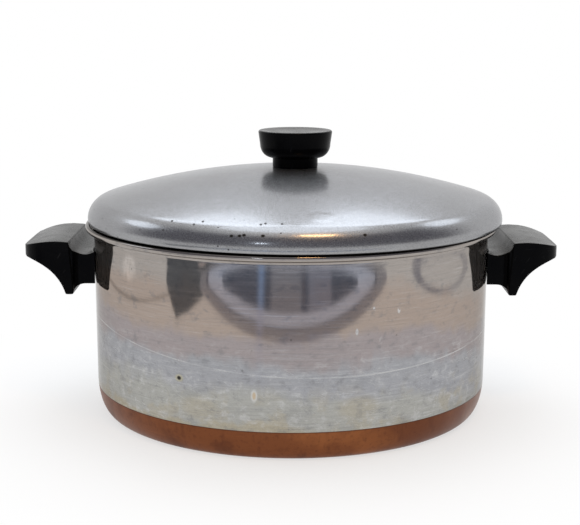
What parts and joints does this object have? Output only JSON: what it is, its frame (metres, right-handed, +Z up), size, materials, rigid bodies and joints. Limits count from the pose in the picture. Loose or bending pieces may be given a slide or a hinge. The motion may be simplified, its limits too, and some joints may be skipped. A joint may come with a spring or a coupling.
{
  "type": "stockpot",
  "caption": "Round drawn-steel stockpot with a copper bottom, a loose domed lid with a knob, and two moulded side handles.",
  "frame": {"origin": "on the surface that the pot stands on, under the middle of the pot", "axes": "+Z up along the pot's axis, +X out through the right-hand handle, +Y away from the viewer of the picture"},
  "size_m": [0.325, 0.254, 0.1713],
  "materials": {
    "body_steel": "worn polished stainless steel with a faint heat tint and fine round-the-pot scratches",
    "lid_steel": "satin stainless steel, slightly greyer than the body",
    "copper": "browned satin copper",
    "phenolic": "satin black phenolic moulding",
    "hardware_steel": "plain bright steel",
    "nut_brass": "plain turned brass"
  },
  "bodies": {
    "pot": {"pot_shell": "body_steel", "copper_base": "copper", "bracket_left": "hardware_steel", "bracket_right": "hardware_steel", "handle_left": "phenolic", "handle_right": "phenolic", "handle_screw_left_1": "hardware_steel", "handle_screw_left_2": "hardware_steel", "handle_screw_right_1": "hardware_steel", "handle_screw_right_2": "hardware_steel", "handle_nut_left_1": "nut_brass", "handle_nut_left_2": "nut_brass", "handle_nut_right_1": "nut_brass", "handle_nut_right_2": "nut_brass"},
    "lid": {"lid_shell": "lid_steel", "knob_stud": "hardware_steel", "knob_nut": "nut_brass", "lid_knob": "phenolic"}
  },
  "joints": [
    {"name": "lid_lift", "type": "slide", "parent": "pot", "child": "lid", "axis": [0, 0, 1], "range_m": [0, 0.15]}
  ]
}
